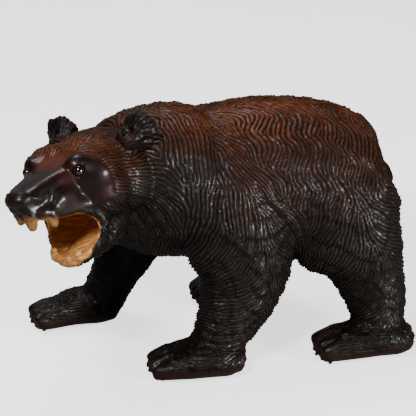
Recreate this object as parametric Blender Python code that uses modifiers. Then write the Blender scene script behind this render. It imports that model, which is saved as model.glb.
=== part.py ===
"""Carved wooden bear, walking with its head turned and its mouth open, with two glass eyes.

The bear faces -X and stands on Z = 0. Its figure is drawn as shares of its length: one
step is a 425th of it, so the tables below read as millimetres on a bear 425 mm long.
"""

import math

import bmesh
import bpy
import numpy as np
from mathutils import Matrix, Vector

# Driving sizes, in metres
LENGTH = 0.425
EYE_DIAMETER = 0.0105
EYE_CLEARANCE = 0.0003
SKIN_VOXEL = 0.0022
SKIN_TRIANGLES = 6600

STEPS_PER_LENGTH = 425
STEP = LENGTH / STEPS_PER_LENGTH

# Locks of fur, in steps: their pitch, depth, slant from the spine and sideways waver
LOCK_PITCH = 13.0
LOCK_DEPTH = 2.0
LOCK_SLANT = 0.55
LOCK_WAVER = 3.0
LOCK_WAVE_LENGTH = 46.0
FUR_LIMIT = (-78.0, -52.0)
ANKLE = (12.0, 30.0)

# The head's pose: where the middle between the eyes is, in steps, and how it is turned
EYE_LINE = (-159.0, -56.0, 223.0)
NECK_DIP = math.radians(25)
HEAD_TURN = math.radians(40)
HEAD_RISE = math.radians(15)
HEAD_SIZE = 0.94

# Sections of a loft: centre x, y, z, then the half breadth across and the half depth
TRUNK = (
    (198, 0, 137, 14, 13),
    (192, 0, 138, 31, 30),
    (180, 0, 138, 46, 46),
    (162, 0, 142, 61, 62),
    (142, 0, 149, 76, 75),
    (105, 0, 159, 82, 80),
    (60, 0, 163, 82, 82),
    (18, 0, 167.5, 79, 76),
    (-5, 0, 168.5, 78, 71.5),
    (-30, 0, 175.5, 77, 75.5),
    (-62, 0, 178, 73, 70),
    (-92, -5, 180, 63, 55),
    (-118, -18, 191, 51, 36),
)
NEAR_FORELEG = (
    (8, -36, 205, 22, 36),
    (12, -50, 180, 30, 50),
    (20, -58, 140, 32, 54),
    (27, -63, 105, 31, 49),
    (23, -65, 80, 28, 43),
    (14, -67, 58, 26, 36),
    (1, -69, 35, 24, 28),
    (-5, -70, 18, 23, 26),
    (-9, -70, 4, 22, 25),
)
NEAR_HINDLEG = (
    (120, -36, 190, 26, 44),
    (124, -48, 160, 34, 56),
    (137, -56, 123, 34, 60),
    (149, -62, 100, 32, 45),
    (157, -66, 75, 28, 36),
    (162, -71, 52, 26, 31),
    (163, -76, 30, 25, 26),
    (164, -80, 12, 24, 25),
)
FAR_FORELEG = (
    (-20, 36, 195, 22, 36),
    (-26, 48, 160, 30, 44),
    (-36, 55, 125, 30, 36),
    (-45, 61, 95, 28, 32),
    (-57, 66, 68, 26, 28),
    (-67, 70, 45, 24, 23),
    (-75, 73, 26, 23, 22),
    (-80, 75, 10, 22, 20),
)
FAR_HINDLEG = (
    (110, 36, 190, 26, 44),
    (102, 50, 155, 34, 54),
    (92, 60, 120, 32, 48),
    (85, 68, 90, 29, 40),
    (82, 74, 62, 26, 33),
    (80, 78, 38, 24, 29),
    (78, 80, 14, 23, 25),
)
NEAR_FOREPAW = (
    (20, -80, 10, 19, 11),
    (8, -78, 14, 26, 17),
    (-16, -76, 17, 28, 19),
    (-38, -71, 14, 28, 16),
    (-58, -67, 11, 25, 13),
    (-69, -65, 8, 20, 10),
)
NEAR_HINDPAW = (
    (191, -84, 10, 20, 12),
    (180, -84, 14, 27, 17),
    (160, -84, 17, 28, 19),
    (138, -83, 15, 27, 17),
    (112, -82, 13, 25, 15),
    (98, -82, 10, 21, 12),
)
FAR_FOREPAW = (
    (-66, 74, 9, 19, 11),
    (-82, 74, 13, 26, 16),
    (-100, 75, 15, 27, 17),
    (-120, 75, 12, 26, 13),
    (-139, 75, 10, 25, 12),
    (-150, 75, 8, 20, 9),
)
FAR_HINDPAW = (
    (104, 78, 10, 19, 12),
    (90, 78, 14, 26, 17),
    (66, 78, 17, 27, 19),
    (44, 78, 13, 26, 15),
    (30, 78, 10, 24, 12),
    (21, 78, 7, 18, 9),
)
LEGS = (NEAR_FORELEG, NEAR_HINDLEG, FAR_FORELEG, FAR_HINDLEG)
PAWS = (NEAR_FOREPAW, NEAR_HINDPAW, FAR_FOREPAW, FAR_HINDPAW)

# Forms of the head, in its own frame: forward, left and up from between the eyes
MUZZLE = (
    (-24, 0, -16, 40, 32),
    (0, 0, -12, 31, 23),
    (20, 0, -11, 25, 20),
    (38, 0, -9, 22, 18),
    (52, 0, -8, 20, 16),
    (60, 0, -7, 17, 13),
    (67, 0, -5, 11, 9),
)
LIP = (
    (56, 7, -16, 7, 7),
    (49, 14, -22, 8, 9),
    (32, 20, -22, 8, 9),
    (12, 25, -27, 8, 9),
    (-4, 29, -37, 8, 10),
    (-11, 31, -52, 9, 9),
    (-9, 30, -66, 9, 9),
    (-3, 26, -78, 8, 9),
    (8, 19, -84, 8, 7),
    (18, 11, -86, 8, 6),
)
JAW = (
    (-50, 0, -66, 36, 26),
    (-20, 0, -82, 33, 17),
    (0, 0, -88, 25, 11),
    (14, 0, -90, 18, 8),
    (22, 0, -88, 11, 6),
)
MOUTH = (
    (-44, 0, -62, 9, 8),
    (-36, 0, -62, 20, 14),
    (-22, 0, -61, 28, 19),
    (-10, 0, -61, 32, 21),
    (-2, 0, -61.5, 34, 22.5),
    (6, 0, -61.5, 37, 23.5),
    (14, 0, -61, 50, 24),
    (36, 0, -60, 56, 25),
    (80, 0, -58, 60, 26),
)
TONGUE = (
    (-44, 0, -78, 12, 8),
    (-20, 0, -82, 14, 6),
    (0, 0, -84, 11, 4),
    (10, 0, -86, 5, 2),
)
CRANIUM = ((-58, 0, -24), (56, 52, 42))
FOREHEAD = ((-26, 22, -11), (32, 34, 29))
THROAT = ((-46, 0, -56), (42, 40, 42))
CHEEK = ((-34, 28, -30), (34, 27, 34))
RUFF = ((-66, 37, -38), (30, 24, 32))
BROW = ((-9, 27, 7), (16, 13, 9))
NOSE = ((62, 0, -3), (12, 15, 10))
EAR = ((-86, 51, 8), (11, 20, 19))
EAR_HOLLOW = ((-74, 51, 11), (9, 12, 12))
NOSTRIL = ((70, 7, -8), (4, 3, 3))
EYE = (1, 33.5, 1.2)

# Teeth: forward, left and up of the root's middle, then radius and length (down if minus)
CANINES = ((47, 18, -23, 6.5, -19), (47, -18, -23, 6.0, -14),
           (16, 13, -88, 4.5, 10), (17, -16, -87, 5.0, 11))
INCISORS = ((61, 7, -17, 6.5, -20), (61, -6, -17, 5.5, -15),
            (21, 4, -89, 2.8, 6), (21, -5, -89, 2.8, 6))
MOLARS = ((30, 20, -24, 5, -10), (30, -20, -24, 5, -10),
          (-12, 22, -85, 5, 8), (-12, -22, -85, 5, 8))

# Toes: how many, their claws' length, thickness and drop, and the cuts between them
TOES = 5
CLAW_LENGTH = 13.0
CLAW_THICKNESS = 4.6
CLAW_TIP = 3.0
TOE_CUT_LENGTH = 26.0
TOE_CUT_WIDTH = 3.6
TOE_CUT_DEPTH = 4.4

WOOD_COLOR = (0.055, 0.030, 0.020, 1)
GLASS_COLOR = (0.012, 0.008, 0.006, 1)


def metres(steps):
    """Steps of the figure as metres."""
    return Vector(steps) * STEP


def head_matrix():
    """The head's frame as a matrix: forward, left and up, turned about the dipped neck."""
    dipped = Vector((-math.cos(NECK_DIP), 0, -math.sin(NECK_DIP)))
    crown = Vector((-math.sin(NECK_DIP), 0, math.cos(NECK_DIP)))
    side = Vector((0, -1, 0))
    facing = dipped * math.cos(HEAD_TURN) + side * math.sin(HEAD_TURN)
    left = side * math.cos(HEAD_TURN) - dipped * math.sin(HEAD_TURN)
    forward = facing * math.cos(HEAD_RISE) + crown * math.sin(HEAD_RISE)
    up = forward.cross(left)
    turned = Matrix((forward, left, up)).transposed().to_4x4()
    return Matrix.Translation(metres(EYE_LINE)) @ turned @ Matrix.Scale(HEAD_SIZE, 4)


def mirrored(form):
    """A form of the head's left side as the one on its right."""
    if len(form) == 2:
        (f, l, u), radii = form
        return (f, -l, u), radii
    return tuple((f, -l, u, a, b) for f, l, u, a, b in form)


def smooth_stations(stations, pieces):
    """Sections between those of a table, by a cubic through each four neighbours."""
    rows = np.array(stations, float)
    ends = np.vstack([2 * rows[0] - rows[1], rows, 2 * rows[-1] - rows[-2]])
    t = np.linspace(0, 1, pieces, endpoint=False)[:, None]
    found = []
    for p0, p1, p2, p3 in zip(ends, ends[1:], ends[2:], ends[3:]):
        found.append(
            0.5 * (2 * p1 + (p2 - p0) * t + (2 * p0 - 5 * p1 + 4 * p2 - p3) * t**2
                   + (3 * p1 - p0 - 3 * p2 + p3) * t**3)
        )
    return np.vstack([*found, rows[-1:]])


def section_frames(stations, pieces):
    """Centres, directions along, across and deep, and half sizes of a loft's sections."""
    rows = smooth_stations(stations, pieces) * STEP
    centres = rows[:, :3]
    along = np.gradient(centres, axis=0)
    along /= np.linalg.norm(along, axis=1)[:, None]
    across = np.array((0.0, 1.0, 0.0)) - along * along[:, 1:2]
    across /= np.linalg.norm(across, axis=1)[:, None]
    return centres, along, across, np.cross(along, across), rows[:, 3], rows[:, 4]


def add_loft(mesh, stations, matrix=Matrix.Identity(4), pieces=4, corners=28):
    """Adds a closed loft of elliptical sections, square to its path, to a bmesh."""
    angles = np.linspace(0, 2 * math.pi, corners, endpoint=False)
    rings = []
    for centre, _, a, d, breadth, depth in zip(*section_frames(stations, pieces)):
        points = (centre + np.outer(np.cos(angles) * breadth, a)
                  + np.outer(np.sin(angles) * depth, d))
        rings.append([mesh.verts.new(matrix @ Vector(p)) for p in points])
    made = [mesh.faces.new(rings[0][::-1]), mesh.faces.new(rings[-1])]
    for low, high in zip(rings, rings[1:]):
        for k in range(corners):
            n = (k + 1) % corners
            made.append(mesh.faces.new((low[k], low[n], high[n], high[k])))
    bmesh.ops.recalc_face_normals(mesh, faces=made)


def add_ellipsoid(mesh, form, matrix, fine=28):
    """Adds an ellipsoid, given as its centre and its three radii, to a bmesh."""
    centre, radii = form
    place = matrix @ Matrix.Translation(metres(centre)) @ Matrix.Diagonal((*metres(radii), 1))
    bmesh.ops.create_uvsphere(
        mesh, u_segments=fine, v_segments=fine // 2, radius=1, matrix=place)


def add_spike(mesh, root, tip, radius, point, corners, matrix=Matrix.Identity(4)):
    """Adds a tapered spike from a root to a tip, both in steps, to a bmesh."""
    axis = Vector(tip) - Vector(root)
    turn = axis.to_track_quat("Z", "Y").to_matrix().to_4x4()
    middle = (Vector(root) + Vector(tip)) / 2
    bmesh.ops.create_cone(
        mesh, cap_ends=True, segments=corners, radius1=radius * STEP, radius2=point * STEP,
        depth=axis.length * STEP, matrix=matrix @ Matrix.Translation(metres(middle)) @ turn)


def new_object(name, mesh, collection):
    """A bmesh as a new object."""
    data = bpy.data.meshes.new(name)
    mesh.to_mesh(data)
    mesh.free()
    made = bpy.data.objects.new(name, data)
    collection.objects.link(made)
    return made


def apply_modifiers(obj):
    """Leaves the object with the mesh that its modifiers make."""
    bpy.context.view_layer.update()
    graph = bpy.context.evaluated_depsgraph_get()
    data = bpy.data.meshes.new_from_object(obj.evaluated_get(graph))
    obj.modifiers.clear()
    obj.data = data


def fuse(obj, voxel, rounds):
    """Melts the object's shells into one skin and softens the seams between them."""
    remesh = obj.modifiers.new("fuse", "REMESH")
    remesh.mode = "VOXEL"
    remesh.voxel_size = voxel
    soften = obj.modifiers.new("soften", "SMOOTH")
    soften.factor = 0.5
    soften.iterations = rounds
    apply_modifiers(obj)


def thin(obj, triangles):
    """Brings the skin down to a number of triangles, keeping its ridges."""
    bare = sum(len(face.vertices) - 2 for face in obj.data.polygons)
    decimate = obj.modifiers.new("thin", "DECIMATE")
    decimate.ratio = triangles / bare
    apply_modifiers(obj)


def combine(obj, other, operation):
    """Cuts the other object from this one, or joins it on."""
    boolean = obj.modifiers.new(other.name, "BOOLEAN")
    boolean.operation = operation
    boolean.object = other
    boolean.solver = "EXACT"
    boolean.use_self = True
    apply_modifiers(obj)
    other.hide_render = True
    other.display_type = "WIRE"


def fade(values, low, high):
    """0 up to the low value, 1 from the high one, and a soft step between them."""
    t = np.clip((values - low) / (high - low), 0, 1)
    return t * t * (3 - 2 * t)


def lock_relief(points, stations, trunk):
    """Height of the locks that follow one form, and how near the points are to its skin."""
    centres, along, across, deep, breadth, depth = section_frames(stations, 4)
    gaps = np.linalg.norm(points[:, None] - centres, axis=2)
    near = gaps.argmin(axis=1)
    offset = points - centres[near]
    a = (offset * across[near]).sum(axis=1)
    d = (offset * deep[near]).sum(axis=1)
    shell = np.hypot(a / breadth[near], d / depth[near])
    travel = np.concatenate([[0], np.cumsum(np.linalg.norm(np.diff(centres, axis=0), axis=1))])
    run = (travel[near] + (offset * along[near]).sum(axis=1)) / STEP
    angle = np.arctan2(a, -d if trunk else d)
    girth = (breadth[near] + depth[near]) / 2 / STEP
    if trunk:
        down = np.abs(angle) * girth
        across_locks = run + LOCK_SLANT * down
        across_locks += LOCK_WAVER * np.sin(2 * math.pi * down / LOCK_WAVE_LENGTH + run / 21)
        phase = 2 * math.pi * across_locks / LOCK_PITCH
    else:
        count = round(2 * math.pi * float(girth.mean()) / LOCK_PITCH)
        sway = LOCK_WAVER * np.sin(2 * math.pi * run / LOCK_WAVE_LENGTH + 2 * angle)
        phase = count * angle + 2 * math.pi * sway / LOCK_PITCH
    return np.cos(phase) * 0.7 + np.cos(2 * phase + 0.8) * 0.2, np.exp(-((shell - 1) / 0.2) ** 2)


def carve_locks(obj):
    """Raises and lowers the skin in locks of fur, except on the face and the paws."""
    data = obj.data
    flat = np.empty(len(data.vertices) * 3)
    data.vertices.foreach_get("co", flat)
    points = flat.reshape(-1, 3)
    normals = np.empty(len(points) * 3)
    data.vertices.foreach_get("normal", normals)
    relief = np.zeros(len(points))
    total = np.full(len(points), 0.05)
    for stations in (TRUNK, *LEGS):
        height, share = lock_relief(points, stations, stations is TRUNK)
        relief += height * share
        total += share
    to_head = np.array(head_matrix().inverted())
    forward = (points @ to_head[0, :3] + to_head[0, 3]) / STEP
    bare_face = 1 - fade(forward, *FUR_LIMIT)
    bare_paws = fade(points[:, 2] / STEP, *ANKLE)
    height = relief / total * bare_face * bare_paws * LOCK_DEPTH * STEP
    points = points + normals.reshape(-1, 3) * height[:, None]
    data.vertices.foreach_set("co", points.ravel())
    data.update()


def build_skin(collection):
    """Trunk, legs, paws and head as one softened mass with its locks of fur."""
    mesh = bmesh.new()
    for stations in (TRUNK, *LEGS, *PAWS):
        add_loft(mesh, stations)
    head = head_matrix()
    for stations in (MUZZLE, LIP, mirrored(LIP), JAW):
        add_loft(mesh, stations, head)
    for form in (CRANIUM, FOREHEAD, mirrored(FOREHEAD), THROAT, CHEEK, mirrored(CHEEK),
                 RUFF, mirrored(RUFF), BROW, mirrored(BROW), NOSE, EAR, mirrored(EAR)):
        add_ellipsoid(mesh, form, head)
    bear = new_object("bear", mesh, collection)
    fuse(bear, SKIN_VOXEL, 5)
    carve_locks(bear)
    thin(bear, SKIN_TRIANGLES)
    return bear


def build_hollows(collection):
    """Cutters for the mouth, the nostrils, the ears and the eyes' seats."""
    head = head_matrix()
    mouth = bmesh.new()
    add_loft(mouth, MOUTH, head, 3, 20)
    small = bmesh.new()
    for form in (EAR_HOLLOW, mirrored(EAR_HOLLOW), NOSTRIL, mirrored(NOSTRIL)):
        add_ellipsoid(small, form, head, 12)
    radius = EYE_DIAMETER / 2 + EYE_CLEARANCE
    for side in (1, -1):
        centre = head @ metres((EYE[0], side * EYE[1], EYE[2]))
        bmesh.ops.create_uvsphere(
            small, u_segments=14, v_segments=8, radius=radius,
            matrix=Matrix.Translation(centre))
    return (new_object("mouth_cutter", mouth, collection),
            new_object("hollow_cutters", small, collection))


def build_toe_cuts(collection):
    """V cuts that part the toes over the front of each paw."""
    mesh = bmesh.new()
    for stations in PAWS:
        (x1, _, z1, breadth, depth1), (x0, y, z0, _, depth0) = stations[-2:]
        rise = math.atan2(z1 + depth1 - z0 - depth0, x1 - x0)
        for k in range(1, TOES):
            side = y + (k - TOES / 2) * 2 * breadth / TOES
            middle = metres(((x0 + x1) / 2, side, (z0 + depth0 + z1 + depth1) / 2))
            place = (Matrix.Translation(middle) @ Matrix.Rotation(-rise, 4, "Y")
                     @ Matrix.Diagonal((TOE_CUT_LENGTH * STEP, TOE_CUT_WIDTH * STEP,
                                        2 * TOE_CUT_DEPTH * STEP, 1))
                     @ Matrix.Rotation(math.radians(45), 4, "X")
                     @ Matrix.Diagonal((1, math.sqrt(0.5), math.sqrt(0.5), 1)))
            bmesh.ops.create_cube(mesh, size=1, matrix=place)
    return new_object("toe_cuts", mesh, collection)


def build_claws(collection):
    """A blunt carved claw on each toe."""
    mesh = bmesh.new()
    for stations in PAWS:
        x, y, z, _, _ = stations[-1]
        spread = 2 * stations[-2][3] / TOES
        for k in range(TOES):
            off = k + 0.5 - TOES / 2
            side = y + off * spread
            back = x + off * off * 1.6
            add_spike(mesh, (back + CLAW_LENGTH * 0.7, side, z + 1),
                      (back - CLAW_LENGTH * 0.15, side + off, CLAW_TIP),
                      CLAW_THICKNESS, CLAW_THICKNESS * 0.3, 4)
    return new_object("claws", mesh, collection)


def build_teeth(collection):
    """Canines, incisors, cheek teeth and tongue."""
    head = head_matrix()
    teeth = bmesh.new()
    for rows in (CANINES, INCISORS, MOLARS):
        for f, l, u, radius, length in rows:
            add_spike(teeth, (f, l, u), (f + 1, l, u + length), radius, radius * 0.4, 6, head)
    tongue = bmesh.new()
    add_loft(tongue, TONGUE, head, 2, 12)
    return new_object("teeth", teeth, collection), new_object("tongue", tongue, collection)


def build_floor(collection):
    """A block whose top, on Z = 0, cuts the soles flat."""
    mesh = bmesh.new()
    bmesh.ops.create_cube(mesh, size=1, matrix=Matrix.Translation((0, 0, -0.5)))
    return new_object("floor_cutter", mesh, collection)


def build_eye(name, side, collection):
    """A glass eye set in its seat."""
    mesh = bmesh.new()
    centre = head_matrix() @ metres((EYE[0], side * EYE[1], EYE[2]))
    bmesh.ops.create_uvsphere(
        mesh, u_segments=14, v_segments=8, radius=EYE_DIAMETER / 2,
        matrix=Matrix.Translation(centre))
    return new_object(name, mesh, collection)


def add_material(obj, color, roughness):
    """Gives the object a material of its own."""
    material = bpy.data.materials.new(obj.name)
    material.use_nodes = True
    shader = material.node_tree.nodes["Principled BSDF"]
    shader.inputs["Base Color"].default_value = color
    shader.inputs["Roughness"].default_value = roughness
    obj.data.materials.clear()
    obj.data.materials.append(material)
    obj.data.shade_smooth()


def centre_on_floor(nodes):
    """Moves the nodes together so that their box stands centred on the origin."""
    corners = np.vstack([np.array([v.co for v in node.data.vertices]) for node in nodes])
    low, high = corners.min(axis=0), corners.max(axis=0)
    shift = Vector((-(low[0] + high[0]) / 2, -(low[1] + high[1]) / 2, -low[2]))
    for node in nodes:
        node.data.transform(Matrix.Translation(shift))


def main():
    for old in list(bpy.data.objects):
        bpy.data.objects.remove(old)
    parts = bpy.data.collections.new("carved bear")
    cutters = bpy.data.collections.new("cutters")
    bpy.context.scene.collection.children.link(parts)
    bpy.context.scene.collection.children.link(cutters)
    bear = build_skin(parts)
    mouth, hollows = build_hollows(cutters)
    teeth, tongue = build_teeth(cutters)
    combine(bear, mouth, "DIFFERENCE")
    combine(bear, hollows, "DIFFERENCE")
    combine(bear, build_toe_cuts(cutters), "DIFFERENCE")
    for added in (teeth, tongue, build_claws(cutters)):
        combine(bear, added, "UNION")
    combine(bear, build_floor(cutters), "DIFFERENCE")
    eyes = [build_eye("left_eye", 1, parts), build_eye("right_eye", -1, parts)]
    add_material(bear, WOOD_COLOR, 0.42)
    for eye in eyes:
        add_material(eye, GLASS_COLOR, 0.06)
    centre_on_floor([bear, *eyes])


main()
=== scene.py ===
"""Looks of a carved wooden bear: combed gouge strokes, a polished face, a bare mouth, glass eyes.

The figure is drawn in steps of one millimetre, with the bear facing -X. Its skin is roughed out
from lofts and balls, melted together, cut, chiselled and combed.
"""

from __future__ import annotations

import logging
import math
from dataclasses import dataclass, field, replace
from enum import Enum

import bmesh
import bpy
import numpy as np
from mathutils import Matrix, Vector


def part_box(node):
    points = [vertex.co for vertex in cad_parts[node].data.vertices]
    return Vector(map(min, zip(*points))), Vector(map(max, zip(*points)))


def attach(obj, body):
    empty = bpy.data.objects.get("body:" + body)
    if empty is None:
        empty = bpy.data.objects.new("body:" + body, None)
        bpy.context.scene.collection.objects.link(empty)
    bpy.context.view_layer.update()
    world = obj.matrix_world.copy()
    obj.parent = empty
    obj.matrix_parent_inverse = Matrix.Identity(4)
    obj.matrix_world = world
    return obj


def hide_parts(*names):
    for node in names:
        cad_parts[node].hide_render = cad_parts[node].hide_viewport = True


logging.basicConfig(level=logging.INFO, format="%(levelname)s %(message)s")
log = logging.getLogger("carved bear")

Array = np.ndarray
Row = tuple[float, ...]
Shell = tuple[Array, list[list[int]]]
STEP = 0.001


class Side(Enum):
    """A side of the bear, as the sign of the axis that points to its left in the head's frame."""

    LEFT = 1
    RIGHT = -1


class Mark(Enum):
    """What is written on the skin's points for its finish, as the attribute's name."""

    RIDGE = "ridge"
    WORN = "worn"
    POLISH = "polish"
    BARE = "bare"
    SOLE = "sole"


# ------------------------------------------------------------------ plain number work


def fade(values: Array, low: float, high: float) -> Array:
    """Soft step: 0 up to low, 1 from high, 3t^2 - 2t^3 between them.

    Args:
        values: any array of numbers.
        low: where the step starts.
        high: where it ends; it may be below low, and the step then falls.

    Returns:
        The step's values, of the same shape.
    """
    t = np.clip((values - low) / (high - low), 0, 1)
    return t * t * (3 - 2 * t)


def unit(vectors: Array) -> Array:
    """Vectors with length 1, along the last axis."""
    return vectors / np.maximum(np.linalg.norm(vectors, axis=-1, keepdims=True), 1e-9)


def flatten(vectors: Array, normals: Array) -> Array:
    """Vectors laid into the planes square to the normals: v - (v.n) n."""
    return vectors - (vectors * normals).sum(axis=1, keepdims=True) * normals


def ripple(points: Array, length: float, turn: float) -> Array:
    """Slow uneven wave through space, from -1 to 1: the mean of three sines, 120 degrees apart.

    Args:
        points: n x 3 points, in steps.
        length: the wave's length, in steps.
        turn: an angle that makes one ripple differ from another.

    Returns:
        The wave's height at each point.
    """
    k = 2 * math.pi / length
    total = np.zeros(len(points))
    for i in range(3):
        a = turn + i * 2.1
        axis = np.array((math.cos(a), math.sin(a) * math.cos(2 * a), math.sin(a) * math.sin(2 * a)))
        total += np.sin(k * (1 + 0.37 * i) * (points @ axis) + 3 * a)
    return total / 3


# ------------------------------------------------------------------ forms


@dataclass(frozen=True)
class Loft:
    """A closed body carried along a path of elliptical sections.

    Each station is the section's middle x, y, z, then its half breadth and its half depth.
    Flat, from 0 to 1, draws the section from an ellipse towards a box with round edges.
    """

    stations: tuple[Row, ...]
    flat: float = 0.0

    def rows(self, pieces: int) -> Array:
        """Stations and those between them, on a cubic through each four neighbours.

        Args:
            pieces: how many sections from one station to the next.

        Returns:
            One row per section, as the stations are.
        """
        rows = np.array(self.stations, float)
        ends = np.vstack([2 * rows[0] - rows[1], rows, 2 * rows[-1] - rows[-2]])
        t = np.linspace(0, 1, pieces, endpoint=False)[None, :, None]
        p0, p1, p2, p3 = (ends[i:len(ends) - 3 + i][:, None] for i in range(4))
        curve = 0.5 * (2 * p1 + (p2 - p0) * t + (2 * p0 - 5 * p1 + 4 * p2 - p3) * t**2
                       + (3 * p1 - p0 - 3 * p2 + p3) * t**3)
        return np.vstack([curve.reshape(-1, 5), rows[-1:]])

    def frames(self, pieces: int) -> tuple[Array, Array, Array, Array, Array, Array]:
        """Middles, directions along, across and deep, and half sizes of the sections.

        Across is Y with its share along the path taken off, and deep is along x across.
        """
        rows = self.rows(pieces)
        along = unit(np.gradient(rows[:, :3], axis=0))
        across = unit(np.array((0.0, 1.0, 0.0)) - along * along[:, 1:2])
        return rows[:, :3], along, across, np.cross(along, across), rows[:, 3], rows[:, 4]

    def shell(self, pieces: int = 6, corners: int = 48) -> Shell:
        """Skin of the loft: middle + cos(a) breadth across + sin(a) depth deep, closed by fans.

        Both are over (cos^4 a + sin^4 a)^(flat / 4), which pushes the corners out.

        Args:
            pieces: sections from one station to the next.
            corners: points around each section.

        Returns:
            Its points and its faces, which point outwards.
        """
        middle, _, across, deep, breadth, depth = self.frames(pieces)
        a = np.linspace(0, 2 * math.pi, corners, endpoint=False)
        out = (np.cos(a)**4 + np.sin(a)**4) ** (-self.flat / 4)
        rings = (middle[:, None]
                 + across[:, None] * ((np.cos(a) * out)[None, :] * breadth[:, None])[..., None]
                 + deep[:, None] * ((np.sin(a) * out)[None, :] * depth[:, None])[..., None])
        count = len(middle)
        k = np.arange(corners)
        n = (k + 1) % corners
        low = (np.arange(count - 1) * corners)[:, None]
        quads = np.stack([low + k, low + n, low + corners + n, low + corners + k], axis=-1)
        last = (count - 1) * corners
        first_fan = np.stack([np.full(corners, count * corners), n, k], axis=-1)
        last_fan = np.stack([np.full(corners, count * corners + 1), last + k, last + n], axis=-1)
        points = np.vstack([rings.reshape(-1, 3), middle[0], middle[-1]])
        return points, [*quads.reshape(-1, 4).tolist(), *first_fan.tolist(), *last_fan.tolist()]

    def wrap(self, points: Array) -> dict[str, Array]:
        """Where points lie about the loft, by the section whose middle is nearest.

        Args:
            points: n x 3 points in the loft's frame.

        Returns:
            run, the way along the path; a and d, the offsets across and deep; shell, 1 on the
            skin; angle, atan2(a, d); breadth and depth, the section's half sizes; and along,
            across and deep, its directions.
        """
        middle, along, across, deep, breadth, depth = self.frames(5)
        gaps = ((points[:, None] - middle) ** 2).sum(axis=2)
        near = gaps.argmin(axis=1)
        offset = points - middle[near]
        travel = np.concatenate([[0], np.cumsum(np.linalg.norm(np.diff(middle, axis=0), axis=1))])
        step_in = (offset * along[near]).sum(axis=1)
        a = (offset * across[near]).sum(axis=1)
        d = (offset * deep[near]).sum(axis=1)
        return {
            "run": travel[near] + step_in, "a": a, "d": d,
            "shell": np.hypot(a / breadth[near], d / depth[near]),
            "angle": np.arctan2(a, d), "along": along[near], "across": across[near],
            "deep": deep[near], "breadth": breadth[near], "depth": depth[near],
        }

    def mirrored(self) -> Loft:
        """The same loft on the other side of the head."""
        return replace(self, stations=tuple((f, -l, u, a, b) for f, l, u, a, b in self.stations))


@dataclass(frozen=True)
class Ball:
    """An ellipsoid, as its middle and its three half sizes."""

    middle: Row
    radii: Row

    def shell(self, rings: int = 24, corners: int = 48) -> Shell:
        """Skin: middle + radii (sin p cos a, sin p sin a, cos p) on a grid, with two poles.

        Args:
            rings: rings between the poles.
            corners: points around each ring.

        Returns:
            Its points and its faces, which point outwards.
        """
        p = np.linspace(0, math.pi, rings + 2)[1:-1, None]
        a = np.linspace(0, 2 * math.pi, corners, endpoint=False)[None, :]
        grid = np.stack([np.sin(p) * np.cos(a), np.sin(p) * np.sin(a),
                         np.cos(p) * np.ones_like(a)], axis=-1)
        points = np.vstack([grid.reshape(-1, 3), (0, 0, 1), (0, 0, -1)])
        k = np.arange(corners)
        n = (k + 1) % corners
        low = (np.arange(rings - 1) * corners)[:, None]
        quads = np.stack([low + k, low + corners + k, low + corners + n, low + n], axis=-1)
        top = np.stack([np.full(corners, rings * corners), k, n], axis=-1)
        last = (rings - 1) * corners
        bottom = np.stack([np.full(corners, rings * corners + 1), last + n, last + k], axis=-1)
        faces = [*quads.reshape(-1, 4).tolist(), *top.tolist(), *bottom.tolist()]
        return points * np.array(self.radii) + np.array(self.middle), faces

    def mirrored(self) -> Ball:
        """The same ball on the other side of the head."""
        f, l, u = self.middle
        return Ball((f, -l, u), self.radii)


@dataclass(frozen=True)
class Chisel:
    """One pass of a tool: a line that the skin is lowered or raised along.

    The height falls off from the line as exp(-(distance / width)^2), and it tapers to nothing
    over the share `taper` of the line at each of its ends.
    """

    line: tuple[Row, ...]
    width: float
    height: float
    taper: float = 0.2

    def relief(self, points: Array) -> Array:
        """Height that the pass adds at each point, along the skin's normal.

        Args:
            points: n x 3 points in the frame that the line is given in.

        Returns:
            The heights, in steps.
        """
        path = np.array(self.line, float)
        reach = 3 * self.width
        inside = np.all((points > path.min(axis=0) - reach) & (points < path.max(axis=0) + reach),
                        axis=1)
        found = np.flatnonzero(inside)
        near = points[found]
        best = np.full(len(near), 1e9)
        share = np.zeros(len(near))
        lengths = np.linalg.norm(np.diff(path, axis=0), axis=1)
        total, gone = lengths.sum(), 0.0
        for start, end, length in zip(path, path[1:], lengths):
            way = (end - start) / length
            t = np.clip((near - start) @ way, 0, length)
            gap = ((near - start - t[:, None] * way) ** 2).sum(axis=1)
            closer = gap < best
            best = np.where(closer, gap, best)
            share = np.where(closer, (gone + t) / total, share)
            gone += length
        out = np.zeros(len(points))
        if self.taper > 0:
            ends = fade(share, 0, self.taper) * fade(share, 1, 1 - self.taper)
            best_height = self.height * (0.15 + 0.85 * ends)
        else:
            best_height = self.height
        out[found] = best_height * np.exp(-best / self.width**2)
        return out

    def mirrored(self) -> Chisel:
        """The same pass on the other side of the head."""
        return replace(self, line=tuple((f, -l, u) for f, l, u in self.line))


# ------------------------------------------------------------------ meshes


def new_piece(name: str, shells: list[Shell]) -> bpy.types.Object:
    """An object of closed shells, whose points are given in metres."""
    points, faces, base = [], [], 0
    for shell_points, shell_faces in shells:
        points.append(shell_points)
        faces += [[base + i for i in face] for face in shell_faces]
        base += len(shell_points)
    data = bpy.data.meshes.new(name)
    data.from_pydata(np.vstack(points).tolist(), [], faces)
    made = bpy.data.objects.new(name, data)
    bpy.context.scene.collection.objects.link(made)
    return made


def read_points(obj: bpy.types.Object) -> Array:
    """The mesh's points, n x 3, in metres."""
    flat = np.empty(len(obj.data.vertices) * 3)
    obj.data.vertices.foreach_get("co", flat)
    return flat.reshape(-1, 3)


def read_normals(obj: bpy.types.Object) -> Array:
    """The mesh's normals at its points, n x 3."""
    flat = np.empty(len(obj.data.vertices) * 3)
    obj.data.vertices.foreach_get("normal", flat)
    return flat.reshape(-1, 3)


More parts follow.
